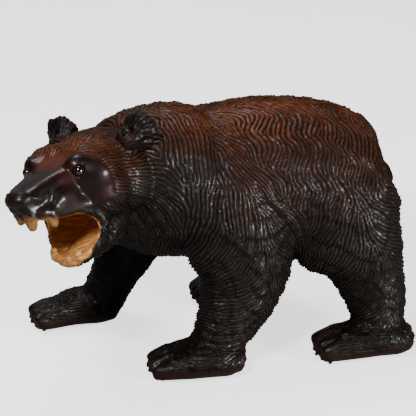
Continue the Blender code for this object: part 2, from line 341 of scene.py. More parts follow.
def write_points(obj: bpy.types.Object, points: Array) -> None:
    """Moves the mesh's points to new places."""
    obj.data.vertices.foreach_set("co", points.ravel())
    obj.data.update()


def bake_modifiers(obj: bpy.types.Object) -> None:
    """Leaves the object with the mesh that its modifiers make."""
    bpy.context.view_layer.update()
    graph = bpy.context.evaluated_depsgraph_get()
    data = bpy.data.meshes.new_from_object(obj.evaluated_get(graph))
    obj.modifiers.clear()
    obj.data = data


def melt(obj: bpy.types.Object, voxel: float, rounds: int) -> None:
    """Melts the object's shells into one skin and softens the seams between them."""
    remesh = obj.modifiers.new("melt", "REMESH")
    remesh.mode = "VOXEL"
    remesh.voxel_size = voxel
    soften = obj.modifiers.new("soften", "SMOOTH")
    soften.factor = 0.5
    soften.iterations = rounds
    bake_modifiers(obj)


def cut_away(obj: bpy.types.Object, cutter: bpy.types.Object) -> None:
    """Cuts one object out of another, and leaves the cutter out of the scene."""
    boolean = obj.modifiers.new("cut", "BOOLEAN")
    boolean.operation = "DIFFERENCE"
    boolean.object = cutter
    boolean.solver = "EXACT"
    bake_modifiers(obj)
    bpy.data.objects.remove(cutter)


def thin(obj: bpy.types.Object, triangles: int) -> None:
    """Brings the mesh down to a number of triangles, which it spends on the ridges."""
    bare = sum(len(face.vertices) - 2 for face in obj.data.polygons)
    decimate = obj.modifiers.new("thin", "DECIMATE")
    decimate.ratio = min(1.0, triangles / bare)
    bake_modifiers(obj)


def write_mark(obj: bpy.types.Object, mark: Mark, values: Array) -> None:
    """Writes one value per point for the finish to read."""
    layer = obj.data.attributes.new(mark.value, "FLOAT", "POINT")
    layer.data.foreach_set("value", values.astype(np.float32))


# ------------------------------------------------------------------ trunk and legs


@dataclass
class Trunk:
    """Body from the rump to the chest, with the comb of its coat.

    Slants are turns back from straight down in radians, and sway is the S bends' share of them.
    """

    body: Loft = Loft((
        (198, 0, 137, 14, 13), (192, 0, 138, 31, 30), (180, 0, 138, 46, 46),
        (162, 0, 142, 61, 62), (142, 0, 149, 76, 75), (105, 0, 159, 82, 80),
        (60, 0, 163, 82, 82), (18, 0, 167.5, 79, 76), (-5, 0, 168.5, 78, 71.5),
        (-30, 0, 175.5, 77, 75.5), (-62, 0, 178, 73, 70), (-92, -5, 180, 63, 55),
        (-118, -18, 191, 51, 36),
    ))
    slant: float = 0.06
    band_slant: float = 0.75
    band_width: float = 17.0
    band_closing: float = 0.26
    rump_slant: float = 0.25
    sway: float = 0.58
    sway_length: float = 36.0

    def shells(self) -> list[Shell]:
        """The trunk's one shell, in steps."""
        return [self.body.shell()]

    def behind(self, points: Array) -> Array:
        """How far back points are from the band's middle line, x - 34 - 0.6 (200 - z)."""
        return points[:, 0] - 34 - 0.6 * (200 - points[:, 2])

    def closeness(self, points: Array) -> Array:
        """Share of the usual pitch: 1, and down to 0.74 in the band."""
        band = np.exp(-(self.behind(points) / self.band_width) ** 4)
        return 1 - self.band_closing * band * fade(points[:, 2], 95, 125)

    def comb(self, points: Array) -> tuple[Array, Array]:
        """Direction of the strokes: back along the spine, turning down the flanks in S bends.

        The slant back from straight down is a constant, plus more along a band that leans back
        from the withers to the elbow, plus a sine of the way down the flank, which sets in
        behind the band. It is exp(-(behind / width)^4) across the band.

        Args:
            points: n x 3 points, in steps.

        Returns:
            The directions, and how near each point is to this skin, from 0 to 1.
        """
        w = self.body.wrap(points)
        angle = np.arctan2(w["a"], -w["d"])
        turn = np.abs(angle)
        sign = np.where(angle < 0, -1.0, 1.0)[:, None]
        outward = sign * (np.cos(angle)[:, None] * w["across"] + np.sin(angle)[:, None] * w["deep"])
        down = turn * (w["breadth"] + w["depth"]) / 2
        behind = self.behind(points)
        slant = self.slant + self.band_slant * np.exp(-(behind / self.band_width) ** 4)
        slant += self.rump_slant * fade(points[:, 0], 95, 150)
        sway = self.sway * (0.25 + 0.75 * fade(behind, 0, 24))
        slant += sway * np.sin(2 * math.pi * down / self.sway_length + w["run"] / 34
                               + 1.2 * ripple(points, 70, 0.7))
        slant = slant + (1.2 - slant) * (1 - fade(turn, 0.02, 0.38))
        way = -w["along"] * np.sin(slant)[:, None] + outward * np.cos(slant)[:, None]
        return way, np.exp(-((w["shell"] - 1) / 0.2) ** 2)


@dataclass
class Limb:
    """A leg with its paw, toes and claws, and the comb of its coat.

    Seam moves the outer line towards the back, feather is the widest turn of the strokes at the
    shoulder and at the wrist, and reach is how far below the leg's top its comb starts and rules.
    """

    name: str
    side: Side
    leg: Loft
    paw: Loft
    toes: int = 5
    claw_length: float = 13.0
    claw_thickness: float = 4.6
    claw_tip: float = 3.0
    cut_depth: float = 3.4
    seam: float = 0.0
    feather: tuple[float, float] = (1.15, 1.42)
    reach: tuple[float, float] = (15.0, 50.0)

    def shells(self) -> list[Shell]:
        """The leg and the paw, in steps."""
        return [self.leg.shell(), self.paw.shell()]

    def toe_lines(self) -> list[tuple[float, float]]:
        """Sideways place of each toe's middle, and how far from the paw's middle it is."""
        _, y, _, _, _ = self.paw.stations[-1]
        spread = 2 * self.paw.stations[-2][3] / self.toes
        return [(y + (k + 0.5 - self.toes / 2) * spread, k + 0.5 - self.toes / 2)
                for k in range(self.toes)]

    def claws(self) -> list[Shell]:
        """A short curved claw on each toe: a loft that droops and thins to a blunt tip."""
        x, _, z, _, _ = self.paw.stations[-1]
        shells = []
        for side, off in self.toe_lines():
            back = x + off * off * 1.6
            root, tip = back + self.claw_length * 0.7, back - self.claw_length * 0.15
            thick = self.claw_thickness
            shells.append(Loft((
                (root, side, z + 1.5, thick, thick * 0.9),
                ((root + tip) / 2, side + off * 0.4, z + 1.0, thick * 0.92, thick * 0.85),
                (tip + 2.4, side + off * 0.8, z - 1.8, thick * 0.66, thick * 0.62),
                (tip, side + off, self.claw_tip, thick * 0.28, thick * 0.3),
            )).shell(4, 16))
        return shells

    def passes(self) -> list[Chisel]:
        """Cuts between the toes, a hollow on top of each, and a crease behind them."""
        (x1, _, z1, breadth, depth1), (x0, y, z0, _, depth0) = self.paw.stations[-2:]
        found = []
        for k in range(1, self.toes):
            side = y + (k - self.toes / 2) * 2 * breadth / self.toes
            found.append(Chisel((
                (x1 + 10, side, z1 + depth1 + 3), (x1, side, z1 + depth1),
                (x0, side, z0 + depth0 - 1), (x0 - 4, side, z0)), 2.0, -self.cut_depth, 0.12))
        for side, off in self.toe_lines():
            found.append(Chisel(((x1 + 3, side, z1 + depth1), (x0 + 4, side, z0 + depth0)),
                                2.2, -1.1, 0.3))
            tip = (x0 - 3, side + off * 0.3, z0 + 2)
            found.append(Chisel(((x0 + 3, side, z0 + depth0 - 1), tip), 2.0, 0.9, 0.3))
        found.append(Chisel(((x1 + 12, y - breadth, z1 + 2), (x1 + 15, y, z1 + depth1 + 4),
                             (x1 + 12, y + breadth, z1 + 2)), 2.6, -1.3, 0.2))
        return found

    def comb(self, points: Array) -> tuple[Array, Array]:
        """Direction of the strokes: down the outer line, feathering out from it all round.

        The turn away from straight down is feather * tanh(angle from the outer line / 0.6), less
        at the front, with a slow sine down the leg, and the feather opens towards the wrist.

        Args:
            points: n x 3 points, in steps.

        Returns:
            The directions, and how near each point is to this skin, from 0 to 1.
        """
        w = self.leg.wrap(points)
        outer = np.arctan2(w["d"] - self.seam, -w["a"] * self.side.value)
        opened = np.interp(points[:, 2], (60, 170), self.feather[::-1])
        turn = np.tanh(np.abs(outer) / 0.6) * opened
        turn = np.where(outer > 0, turn * 0.78, turn) + 0.12 * np.sin(w["run"] / 6.5)
        top = self.leg.stations[0][2]
        sign = np.where(outer < 0, -1.0, 1.0)[:, None]
        spoke = -np.sin(outer)[:, None] * w["across"] * -self.side.value
        spoke = sign * (np.cos(outer)[:, None] * w["deep"] + spoke)
        way = w["along"] * np.cos(turn)[:, None] + spoke * np.sin(turn)[:, None]
        share = 1.6 * fade(points[:, 2], top - self.reach[0], top - self.reach[1])
        return way, share * np.exp(-((w["shell"] - 1) / 0.2) ** 2)

    def instep(self, points: Array, normals: Array) -> tuple[Array, Array]:
        """Direction of the level strokes round the front of the paw, Z x normal, and its share."""
        w = self.paw.wrap(points)
        way = np.cross(np.array((0.0, 0.0, 1.0)), normals) * self.side.value
        toe_x = self.paw.stations[-1][0]
        ankle = self.leg.stations[-1][0]
        front = fade(points[:, 0], ankle + 4, ankle - 14) * fade(points[:, 2], 52, 38)
        share = 2.5 * front * np.exp(-((w["shell"] - 1) / 0.35) ** 2)
        return way, share * (points[:, 0] > toe_x - 9)


def make_limbs() -> list[Limb]:
    """The four legs as they stand, from the near foreleg round to the far hind leg."""
    return [
        Limb("left foreleg", Side.LEFT, Loft((
            (8, -36, 205, 22, 36), (12, -50, 180, 30, 50), (20, -58, 140, 32, 54),
            (27, -63, 105, 31, 49), (23, -65, 80, 28, 43), (14, -67, 58, 26, 36),
            (1, -69, 35, 24, 28), (-5, -70, 18, 23, 26), (-9, -70, 4, 22, 25),
        )), Loft((
            (20, -80, 10, 19, 11), (8, -78, 14, 26, 17), (-16, -76, 17, 28, 19),
            (-38, -71, 14, 28, 16), (-58, -67, 11, 25, 13), (-69, -65, 8, 20, 10),
        )), seam=20.0, reach=(48.0, 90.0)),
        Limb("left hind leg", Side.LEFT, Loft((
            (120, -36, 190, 26, 44), (124, -48, 160, 34, 56), (137, -56, 123, 34, 60),
            (149, -62, 100, 32, 45), (157, -66, 75, 28, 36), (162, -71, 52, 26, 31),
            (163, -76, 30, 25, 26), (164, -80, 12, 24, 25),
        )), Loft((
            (191, -84, 10, 20, 12), (180, -84, 14, 27, 17), (160, -84, 17, 28, 19),
            (138, -83, 15, 27, 17), (112, -82, 13, 25, 15), (98, -82, 10, 21, 12),
        )), seam=12.0),
        Limb("right foreleg", Side.RIGHT, Loft((
            (-20, 36, 195, 22, 36), (-26, 48, 160, 30, 44), (-36, 55, 125, 30, 36),
            (-45, 61, 95, 28, 32), (-57, 66, 68, 26, 28), (-67, 70, 45, 24, 23),
            (-75, 73, 26, 23, 22), (-80, 75, 10, 22, 20),
        )), Loft((
            (-66, 74, 9, 19, 11), (-82, 74, 13, 26, 16), (-100, 75, 15, 27, 17),
            (-120, 75, 12, 26, 13), (-139, 75, 10, 25, 12), (-150, 75, 8, 20, 9),
        )), reach=(40.0, 80.0)),
        Limb("right hind leg", Side.RIGHT, Loft((
            (110, 36, 190, 26, 44), (102, 50, 155, 34, 54), (92, 60, 120, 32, 48),
            (85, 68, 90, 29, 40), (82, 74, 62, 26, 33), (80, 78, 38, 24, 29),
            (78, 80, 14, 23, 25),
        )), Loft((
            (104, 78, 10, 19, 12), (90, 78, 14, 26, 17), (66, 78, 17, 27, 19),
            (44, 78, 13, 26, 15), (30, 78, 10, 24, 12), (21, 78, 7, 18, 9),
        ))),
    ]


# ------------------------------------------------------------------ head


@dataclass(frozen=True)
class HeadPose:
    """The head's frame: forward, left and up from the middle between the eyes."""

    eye_line: Row = (-159.0, -56.0, 223.0)
    dip: float = math.radians(25)
    turn: float = math.radians(40)
    rise: float = math.radians(15)
    size: float = 0.94

    def axes(self) -> Array:
        """Forward, left and up as the columns of a 3 x 3 matrix.

        The head's facing is the dipped neck turned to the left, and forward is the facing
        raised towards the crown.
        """
        dipped = np.array((-math.cos(self.dip), 0, -math.sin(self.dip)))
        crown = np.array((-math.sin(self.dip), 0, math.cos(self.dip)))
        side = np.array((0.0, -1.0, 0.0))
        facing = dipped * math.cos(self.turn) + side * math.sin(self.turn)
        left = side * math.cos(self.turn) - dipped * math.sin(self.turn)
        forward = facing * math.cos(self.rise) + crown * math.sin(self.rise)
        return np.stack([forward, left, np.cross(forward, left)], axis=1)

    def place(self, points: Array) -> Array:
        """Points of the head's frame as steps of the figure."""
        return self.size * points @ self.axes().T + np.array(self.eye_line)

    def local(self, points: Array) -> Array:
        """Steps of the figure as points of the head's frame."""
        return (points - np.array(self.eye_line)) @ self.axes() / self.size


@dataclass
class Head:
    """Skull, muzzle, jaws, ears and teeth, in the head's own frame."""

    pose: HeadPose = HeadPose()
    muzzle: Loft = Loft((
        (-24, 0, -16, 40, 32), (0, 0, -12, 31, 23), (20, 0, -11, 25, 20),
        (38, 0, -9, 21, 17), (52, 0, -8, 19, 15), (60, 0, -7, 16, 12.5), (67, 0, -5, 11, 9),
    ), flat=0.8)
    lip: Loft = Loft((
        (56, 7, -16, 7, 7), (49, 14, -22, 8, 9), (32, 19, -25, 8, 11), (12, 24, -30, 8, 11),
        (-4, 29, -38, 8, 10), (-11, 31, -52, 9, 9), (-9, 30, -66, 9, 9), (-3, 26, -78, 8, 9),
        (8, 19, -84, 8, 7), (18, 11, -86, 8, 6),
    ))
    jaw: Loft = Loft((
        (-50, 0, -66, 36, 26), (-20, 0, -82, 33, 17), (0, 0, -88, 25, 11),
        (14, 0, -90, 18, 8), (22, 0, -88, 11, 6),
    ))
    mouth: Loft = Loft((
        (-44, 0, -62, 9, 8), (-36, 0, -62, 20, 14), (-22, 0, -61, 28, 19),
        (-10, 0, -61, 32, 21), (-2, 0, -61.5, 34, 22.5), (6, 0, -61.5, 37, 23.5),
        (14, 0, -61, 50, 24), (36, 0, -60, 56, 25), (80, 0, -58, 60, 26),
    ))
    tongue: Loft = Loft((
        (-44, 0, -78, 12, 8), (-20, 0, -82, 14, 6), (0, 0, -84, 11, 4), (10, 0, -86, 5, 2),
    ))
    single: tuple[Ball, ...] = (
        Ball((-58, 0, -24), (56, 52, 42)),
        Ball((-46, 0, -56), (42, 40, 42)),
        Ball((62, 0, -3), (12, 15, 10)),
    )
    paired: tuple[Ball, ...] = (
        Ball((-26, 22, -11), (32, 34, 29)),
        Ball((-34, 28, -30), (34, 27, 34)),
        Ball((-66, 37, -38), (30, 24, 32)),
        Ball((-9, 27, 7), (16, 13, 9)),
        Ball((-74, 45, 4), (15, 15, 13)),
        Ball((15, 20, -19), (25, 11.5, 14)),
    )
    rim: tuple[tuple[float, float], ...] = (
        (-98, 24), (-93, 18), (-88, 13), (-83, 10.5), (-74, 9), (-64, 8.5), (-54, 8.5),
        (-46, 11), (-40, 18), (-37, 30), (-33, 41), (-28, 50), (-25, 62),
    )
    ear: Ball = Ball((-86, 51, 8), (11, 20, 19))
    hollow: tuple[Ball, ...] = (Ball((-67, 50, 16), (8, 9, 8)),)
    eye: Row = (1, 33.5, 1.2)
    eye_radius: float = 5.25
    teeth: tuple[Row, ...] = (
        (42, 19, -23, 6.4, -18), (46, -18, -23, 5.0, -13), (16, 13, -88, 4.6, 10),
        (17, -16, -87, 5.4, 12), (60, 7, -17, 7.2, -20), (60, -7, -17, 4.4, -14),
        (21, 4, -89, 3.0, 6), (21, -5, -89, 3.0, 6), (27, 20, -24, 4.6, -10),
        (27, -20, -24, 4.6, -10), (-12, 22, -85, 5, 8), (-12, -22, -85, 5, 8),
    )

    def shells(self) -> list[Shell]:
        """Every solid form of the head, placed on the figure, in steps."""
        forms: list[Loft | Ball] = [self.muzzle, self.lip, self.lip.mirrored(), self.jaw]
        pairs = (*self.paired, self.ear)
        forms += [*self.single, *pairs, *(ball.mirrored() for ball in pairs)]
        return [self.placed(form.shell()) for form in forms]

    def placed(self, shell: Shell) -> Shell:
        """A shell of the head's frame, placed on the figure."""
        return self.pose.place(shell[0]), shell[1]

    def cutters(self, seat: float) -> list[Shell]:
        """Shells cut out of the head: the mouth, ears and the eyes' seats.

        Args:
            seat: radius of an eye's seat, in steps of the figure.
        """
        balls = [ball for pair in self.hollow for ball in (pair, pair.mirrored())]
        found = [self.placed(self.mouth.shell(5, 40))]
        found += [self.placed(ball.shell(14, 28)) for ball in balls]
        for side in Side:
            f, l, u = self.eye
            middle = self.pose.place(np.array((f, l * side.value, u)))
            found.append(Ball(tuple(middle), (seat,) * 3).shell(16, 32))
        return found

    def tooth(self, row: Row) -> Loft:
        """A tooth as a loft that keeps most of its width and rounds over at a blunt tip."""
        f, l, u, radius, length = row
        return Loft((
            (f, l, u, radius, radius), (f + 0.3, l, u + length * 0.4, radius * 0.96, radius * 0.9),
            (f + 0.6, l, u + length * 0.75, radius * 0.8, radius * 0.7),
            (f + 1, l, u + length, radius * 0.5, radius * 0.4),
        ))

    def fillings(self) -> list[Shell]:
        """Teeth and tongue, placed on the figure."""
        return [self.placed(form.shell(4, 20))
                for form in (*(self.tooth(row) for row in self.teeth), self.tongue)]

    def lids(self) -> list[Chisel]:
        """Raised lids around an eye, and the trough around the lids, as two rings."""
        f, l, u = self.eye
        out = unit(np.array((0.3, 1.0, 0.15)))
        one = unit(np.cross(out, np.array((0.0, 0.0, 1.0))))
        two = np.cross(out, one)
        a = np.linspace(0, 2 * math.pi, 17)[:, None]
        rings = []
        for radius, width, height in ((6.8, 1.2, 0.7), (9.4, 2.0, -0.7)):
            circle = radius * (np.cos(a) * one + np.sin(a) * two * 0.9)
            ring = np.array((f, l, u)) + circle + out * 1.5
            rings.append(Chisel(tuple(map(tuple, ring)), width, height, 0.0))
        return rings

    def passes(self) -> list[Chisel]:
        """Chisel work of the face: folds of the snarl, nose, brows, cheeks and ears."""
        both = [
            *self.lids(),
            Chisel(((-6, 27, 18), (-11, 34, 17), (-15, 42, 11), (-17, 49, 4), (-20, 54, -5),
                    (-22, 55, -15), (-24, 53, -25), (-20, 50, -34), (-12, 45, -41),
                    (-3, 38, -42), (7, 33, -38)), 1.7, -1.1, 0.05),
            Chisel(((10, 24, 0), (11, 26, -6), (12, 28, -14), (14, 30, -22), (16, 31, -29)),
                   4.2, 1.0),
            Chisel(((6, 30, -5), (7, 32, -14), (9, 34, -22), (12, 35, -28)), 2.8, 0.5),
            Chisel(((0, 40, -3), (0, 42, -12), (2, 41, -22), (4, 38, -30)), 6.0, -0.9),
            Chisel(((67, 2, 6), (66, 6, 5), (62, 12, 3), (58, 17, -3), (52, 20, -7), (45, 21, -8),
                    (38, 21, -5)), 1.6, 1.2, 0.1),
            Chisel(((63, 14, -8), (57, 18, -13), (50, 20, -15), (44, 21, -15)), 4.2, -1.8),
            Chisel(((61, 8, 8), (52, 10, 9), (42, 12, 10), (30, 14, 10)), 5.0, -0.7, 0.3),
            Chisel(((38, 21, -6), (41, 22, -11), (46, 22, -15), (50, 20, -19), (52, 18, -22)),
                   1.8, 1.3, 0.15),
            Chisel(((36, 22, -13), (41, 23, -18), (44, 22, -22)), 2.8, -1.3, 0.2),
            Chisel(((33, 23, -8), (28, 25, -12), (25, 27, -19)), 3.2, 1.0, 0.2),
            Chisel(((31, 23, -16), (33, 25, -21), (37, 24, -25)), 2.2, -0.8, 0.2),
            Chisel(((19, 20, -4), (19, 23, -12), (20, 26, -21)), 3.8, -1.5, 0.2),
            Chisel(((70, 2, -9), (66, 9, -10), (61, 14, -12)), 1.6, -1.6, 0.2),
            Chisel(((72, 3, -9), (70, 7, -11), (68, 10, -12)), 1.8, -2.6, 0.1),
            Chisel(((63, 13, -8), (61, 14, -9)), 1.6, -1.5, 0.0),
            Chisel(((6, 18, 9), (3, 24, 13), (-3, 30, 15), (-11, 36, 16)), 2.4, 1.0),
            Chisel(((9, 17, 5), (6, 24, 7), (2, 30, 9)), 2.4, -1.2),
            Chisel(((24, 5, 8), (10, 12, 6), (6, 20, 2)), 4.0, -1.2),
            Chisel(((57, 13, -24), (48, 18, -28), (38, 22, -32), (27, 26, -34), (14, 30, -36),
                    (4, 33, -43), (-1, 34, -54), (-1, 33, -65), (2, 30, -75), (10, 26, -82)),
                   1.5, 0.8, 0.1),
            Chisel(((52, 17, -20), (42, 21, -26), (30, 25, -29), (18, 28, -31)), 1.6, -1.0, 0.2),
            Chisel(((-80, 58, 26), (-88, 66, 20), (-92, 71, 10)), 2.6, 1.2),
            Chisel(((-90, 70, 14), (-86, 68, 16)), 1.6, -1.8, 0.0),
            Chisel(((-74, 60, -6), (-82, 66, -6), (-92, 68, -4)), 4.6, -5.0, 0.15),
        ]
        middle = [
            Chisel(((16, 0, 8), (2, 0, 12), (-12, 0, 17), (-24, 0, 20)), 5.0, -1.8),
            Chisel(((73, 0, -6), (70, 0, -12), (67, 0, -19)), 1.6, -1.5),
            Chisel(((-18, 10, 20), (-30, 13, 20), (-44, 14, 20)), 5.0, 0.8),
        ]
        return [*both, *(one.mirrored() for one in both), *middle]

    def polish(self, local: Array) -> Array:
        """Share of the smooth polished face: all in front of an edge that runs up the cheeks.

        Args:
            local: n x 3 points of the head's frame.
        """
        edge = np.interp(local[:, 2], (-46, -42, -39, -33, -25, -14, -3, 5, 11, 16, 24),
                         (30, 6, -8, -18, -23, -21, -18, -16, -13, -6, 0))
        soft = 1.2 + 8 * fade(local[:, 2], 3, 14)
        return fade((local[:, 0] - edge) / soft, -1, 1)

    def bare(self, local: Array) -> Array:
        """Share of the unstained wood: the mouth with its teeth, tongue and rim.

        It is bare within the mouth's loft, in front of the rim, which gives forward as a curve
        of up, and close around each tooth. It is lowered on the front teeth as painted shade, and a
        little at the jaw's front.

        Args:
            local: n x 3 points of the head's frame.
        """
        f, l, u = local.T
        w = self.mouth.wrap(local)
        past = (w["shell"] - 1) * (w["breadth"] + w["depth"]) / 2
        share = fade(past, 1.4, 0.6) * fade(f, -50, -44)
        edge = np.interp(u, *np.array(self.rim).T) + 0.6 * ripple(local, 9, 0.5)
        edge -= 12 * fade(l, 12, 2) * fade(u, -74, -84)
        front = fade(f - edge, -0.6, 0.6) * fade(u, -22.5, -24) * fade(u, -103, -99)
        share = np.maximum(share, front)
        for tooth_f, tooth_l, tooth_u, radius, length in self.teeth:
            along = (u - tooth_u) / length
            away = np.hypot(f - tooth_f - along, l - tooth_l)
            near = fade(away, radius + 1.6, radius + 0.4) * fade(along, 1.6, 1.3)
            tooth = near * fade(along, 0.0, 0.1) * fade(np.abs(u + 58), 27, 25)
            share = np.maximum(share, tooth * (share > 0.02))
        # Painted shade on the front teeth: their bare share is lowered, so they take the darker
        # tone around them.
        share *= 1 - 0.6 * fade(f, 33, 43) * fade(u, -56, -46)
        share *= 1 - 0.3 * fade(u, -82, -88) * fade(f, 2, 12)
        return share * fade(f, 90, 80)

    def comb(self, points: Array) -> tuple[Array, Array]:
        """Direction of the strokes: away from between the brows, back and down the neck.

        Args:
            points: n x 3 points, in steps.

        Returns:
            The directions, and the head's share of each point, from 0 to 1.
        """
        local = self.pose.local(points)
        f, l, u = local.T
        rise = np.where(u > 0, 0.35 * u, 0.9 * u) + 1.0
        way = np.stack([f - 16, 0.45 * l, rise - 2.5], axis=1)
        share = fade(f, -94, -76) * fade(f + 0.6 * u, -150, -120)
        for ear in (self.ear, self.ear.mirrored()):
            apart = np.linalg.norm(local - np.array(ear.middle), axis=1)
            share = np.maximum(share, fade(apart, 30, 22))
        return unit(way) @ self.pose.axes().T, 2.0 * share


# ------------------------------------------------------------------ coat


@dataclass(frozen=True)
class Coat:
    """A pattern of combed strokes, made of small waves that are brought into step.

    A seed stands on the skin in each cell of a grid. Each seed carries a plane wave across its
    stroke direction, and their phases are drawn to their neighbours' in rounds, so the crests
    join into long strokes that fork and end where the comb spreads or closes.
    """

    pitch: float
    cell: float
    sharpness: float = 1.5
    rounds: int = 30
    seed: int = 7

    def keys(self, cells: Array) -> Array:
        """One whole number for each cell of the grid, from its three places."""
        c = cells.astype(np.int64) + 512
        return (c[:, 0] * 2048 + c[:, 1]) * 2048 + c[:, 2]

    def links(self, cells: Array, known: Array, span: int) -> tuple[Array, Array]:
        """Which seeds stand in the cells around each of some cells.

        Args:
            cells: n x 3 places in the grid.
            known: the seeds' keys, in rising order.
            span: how many cells to look each way.

        Returns:
            Pairs, as the numbers of the asking cell and of the seed found.
        """
        offsets = np.arange(-span, span + 1)
        asking, found = [], []
        for dx in offsets:
            for dy in offsets:
                for dz in offsets:
                    wanted = self.keys(cells + np.array((dx, dy, dz)))
                    spot = np.searchsorted(known, wanted)
                    spot[spot == len(known)] = 0
                    hit = np.flatnonzero(known[spot] == wanted)
                    asking.append(hit)
                    found.append(spot[hit])
        return np.concatenate(asking), np.concatenate(found)

    def ridges(self, points: Array, normals: Array, ways: Array, spread: Array) -> Array:
        """Height of the strokes: ((1 + cos phase) / 2)^sharpness, narrow crests between grooves.

        Args:
            points: n x 3 points, in steps.
            normals: the skin's normals there.
            ways: unit directions of the strokes there, in the skin.
            spread: the pitch there, as a share of the coat's.

        Returns:
            From 0 in a groove to 1 on a crest, eased to a middle height where waves clash.
        """
        phase, sure = self.waves(points, normals, ways, spread)
        height = ((1 + np.cos(phase)) / 2) ** self.sharpness
        return height * sure + 0.4 * (1 - sure)

    def tufts(self, points: Array, normals: Array, ways: Array, spread: Array) -> Array:
        """Height of overlapping tufts: it climbs along each one and drops at its tip.

        The waves run along the strokes, and the height is 1 - phase / 2 pi, with the last
        tenth of it falling back smoothly.

        Args:
            points: n x 3 points, in steps.
            normals: the skin's normals there.
            ways: unit directions of the strokes there, in the skin.
            spread: the length there, as a share of the coat's.

        Returns:
            From 0 at a tuft's root to 1 near its tip.
        """
        phase, sure = self.waves(points, normals, np.cross(normals, ways), spread)
        left = (phase % (2 * math.pi)) / (2 * math.pi)
        return (1 - left) * fade(left, 0, 0.1) * sure + 0.5 * (1 - sure)

    def waves(self, points: Array, normals: Array, ways: Array,
              spread: Array) -> tuple[Array, Array]:
        """Phase of the waves across the given directions, and how well they agree there.

        Args:
            points: n x 3 points, in steps.
            normals: the skin's normals there.
            ways: unit directions of the wave crests there, in the skin.
            spread: the wave's length there, as a share of the pitch.

        Returns:
            The phases, and from 0 where the seeds' waves clash to 1 where they agree.
        """
        random = np.random.default_rng(self.seed)
        cells = np.floor(points / self.cell).astype(np.int64)
        keys = self.keys(cells)
        order = random.permutation(len(points))
        known, first = np.unique(keys[order], return_index=True)
        seeds = order[first]
        place, normal = points[seeds], normals[seeds]
        across = np.cross(normals, ways)
        wave = across * (2 * math.pi / (self.pitch * spread))[:, None]
        seed_wave = wave[seeds]
        phase = random.uniform(0, 2 * math.pi, len(seeds))
        i, j = self.links(cells[seeds], known, 2)
        gap = place[i] - place[j]
        near = np.exp(-(gap**2).sum(axis=1) / (2 * (1.1 * self.cell) ** 2))
        alike = np.clip((across[seeds[i]] * across[seeds[j]]).sum(axis=1), 0, 1) ** 3
        alike *= np.clip((normal[i] * normal[j]).sum(axis=1), 0, 1)
        weight = near * alike
        shift = (gap * (seed_wave[i] + seed_wave[j]) / 2).sum(axis=1)
        for _ in range(self.rounds):
            turned = weight * np.exp(1j * (phase[j] + shift))
            total = np.bincount(i, turned.real, len(seeds)) + 1j * np.bincount(
                i, turned.imag, len(seeds))
            phase = np.angle(total + 1e-9)
        i, j = self.links(cells, known, 2)
        gap = points[i] - place[j]
        near = np.exp(-(gap**2).sum(axis=1) / (2 * (0.72 * self.cell) ** 2))
        near *= np.clip((normals[i] * normal[j]).sum(axis=1), 0, 1)
        turned = near * np.exp(1j * (phase[j] + (gap * seed_wave[j]).sum(axis=1)))
        total = np.bincount(i, turned.real, len(points)) + 1j * np.bincount(
            i, turned.imag, len(points))
        strength = np.abs(total) / np.maximum(np.bincount(i, near, len(points)), 1e-6)
        return np.angle(total), fade(strength, 0.05, 0.5)


# ------------------------------------------------------------------ the whole carving


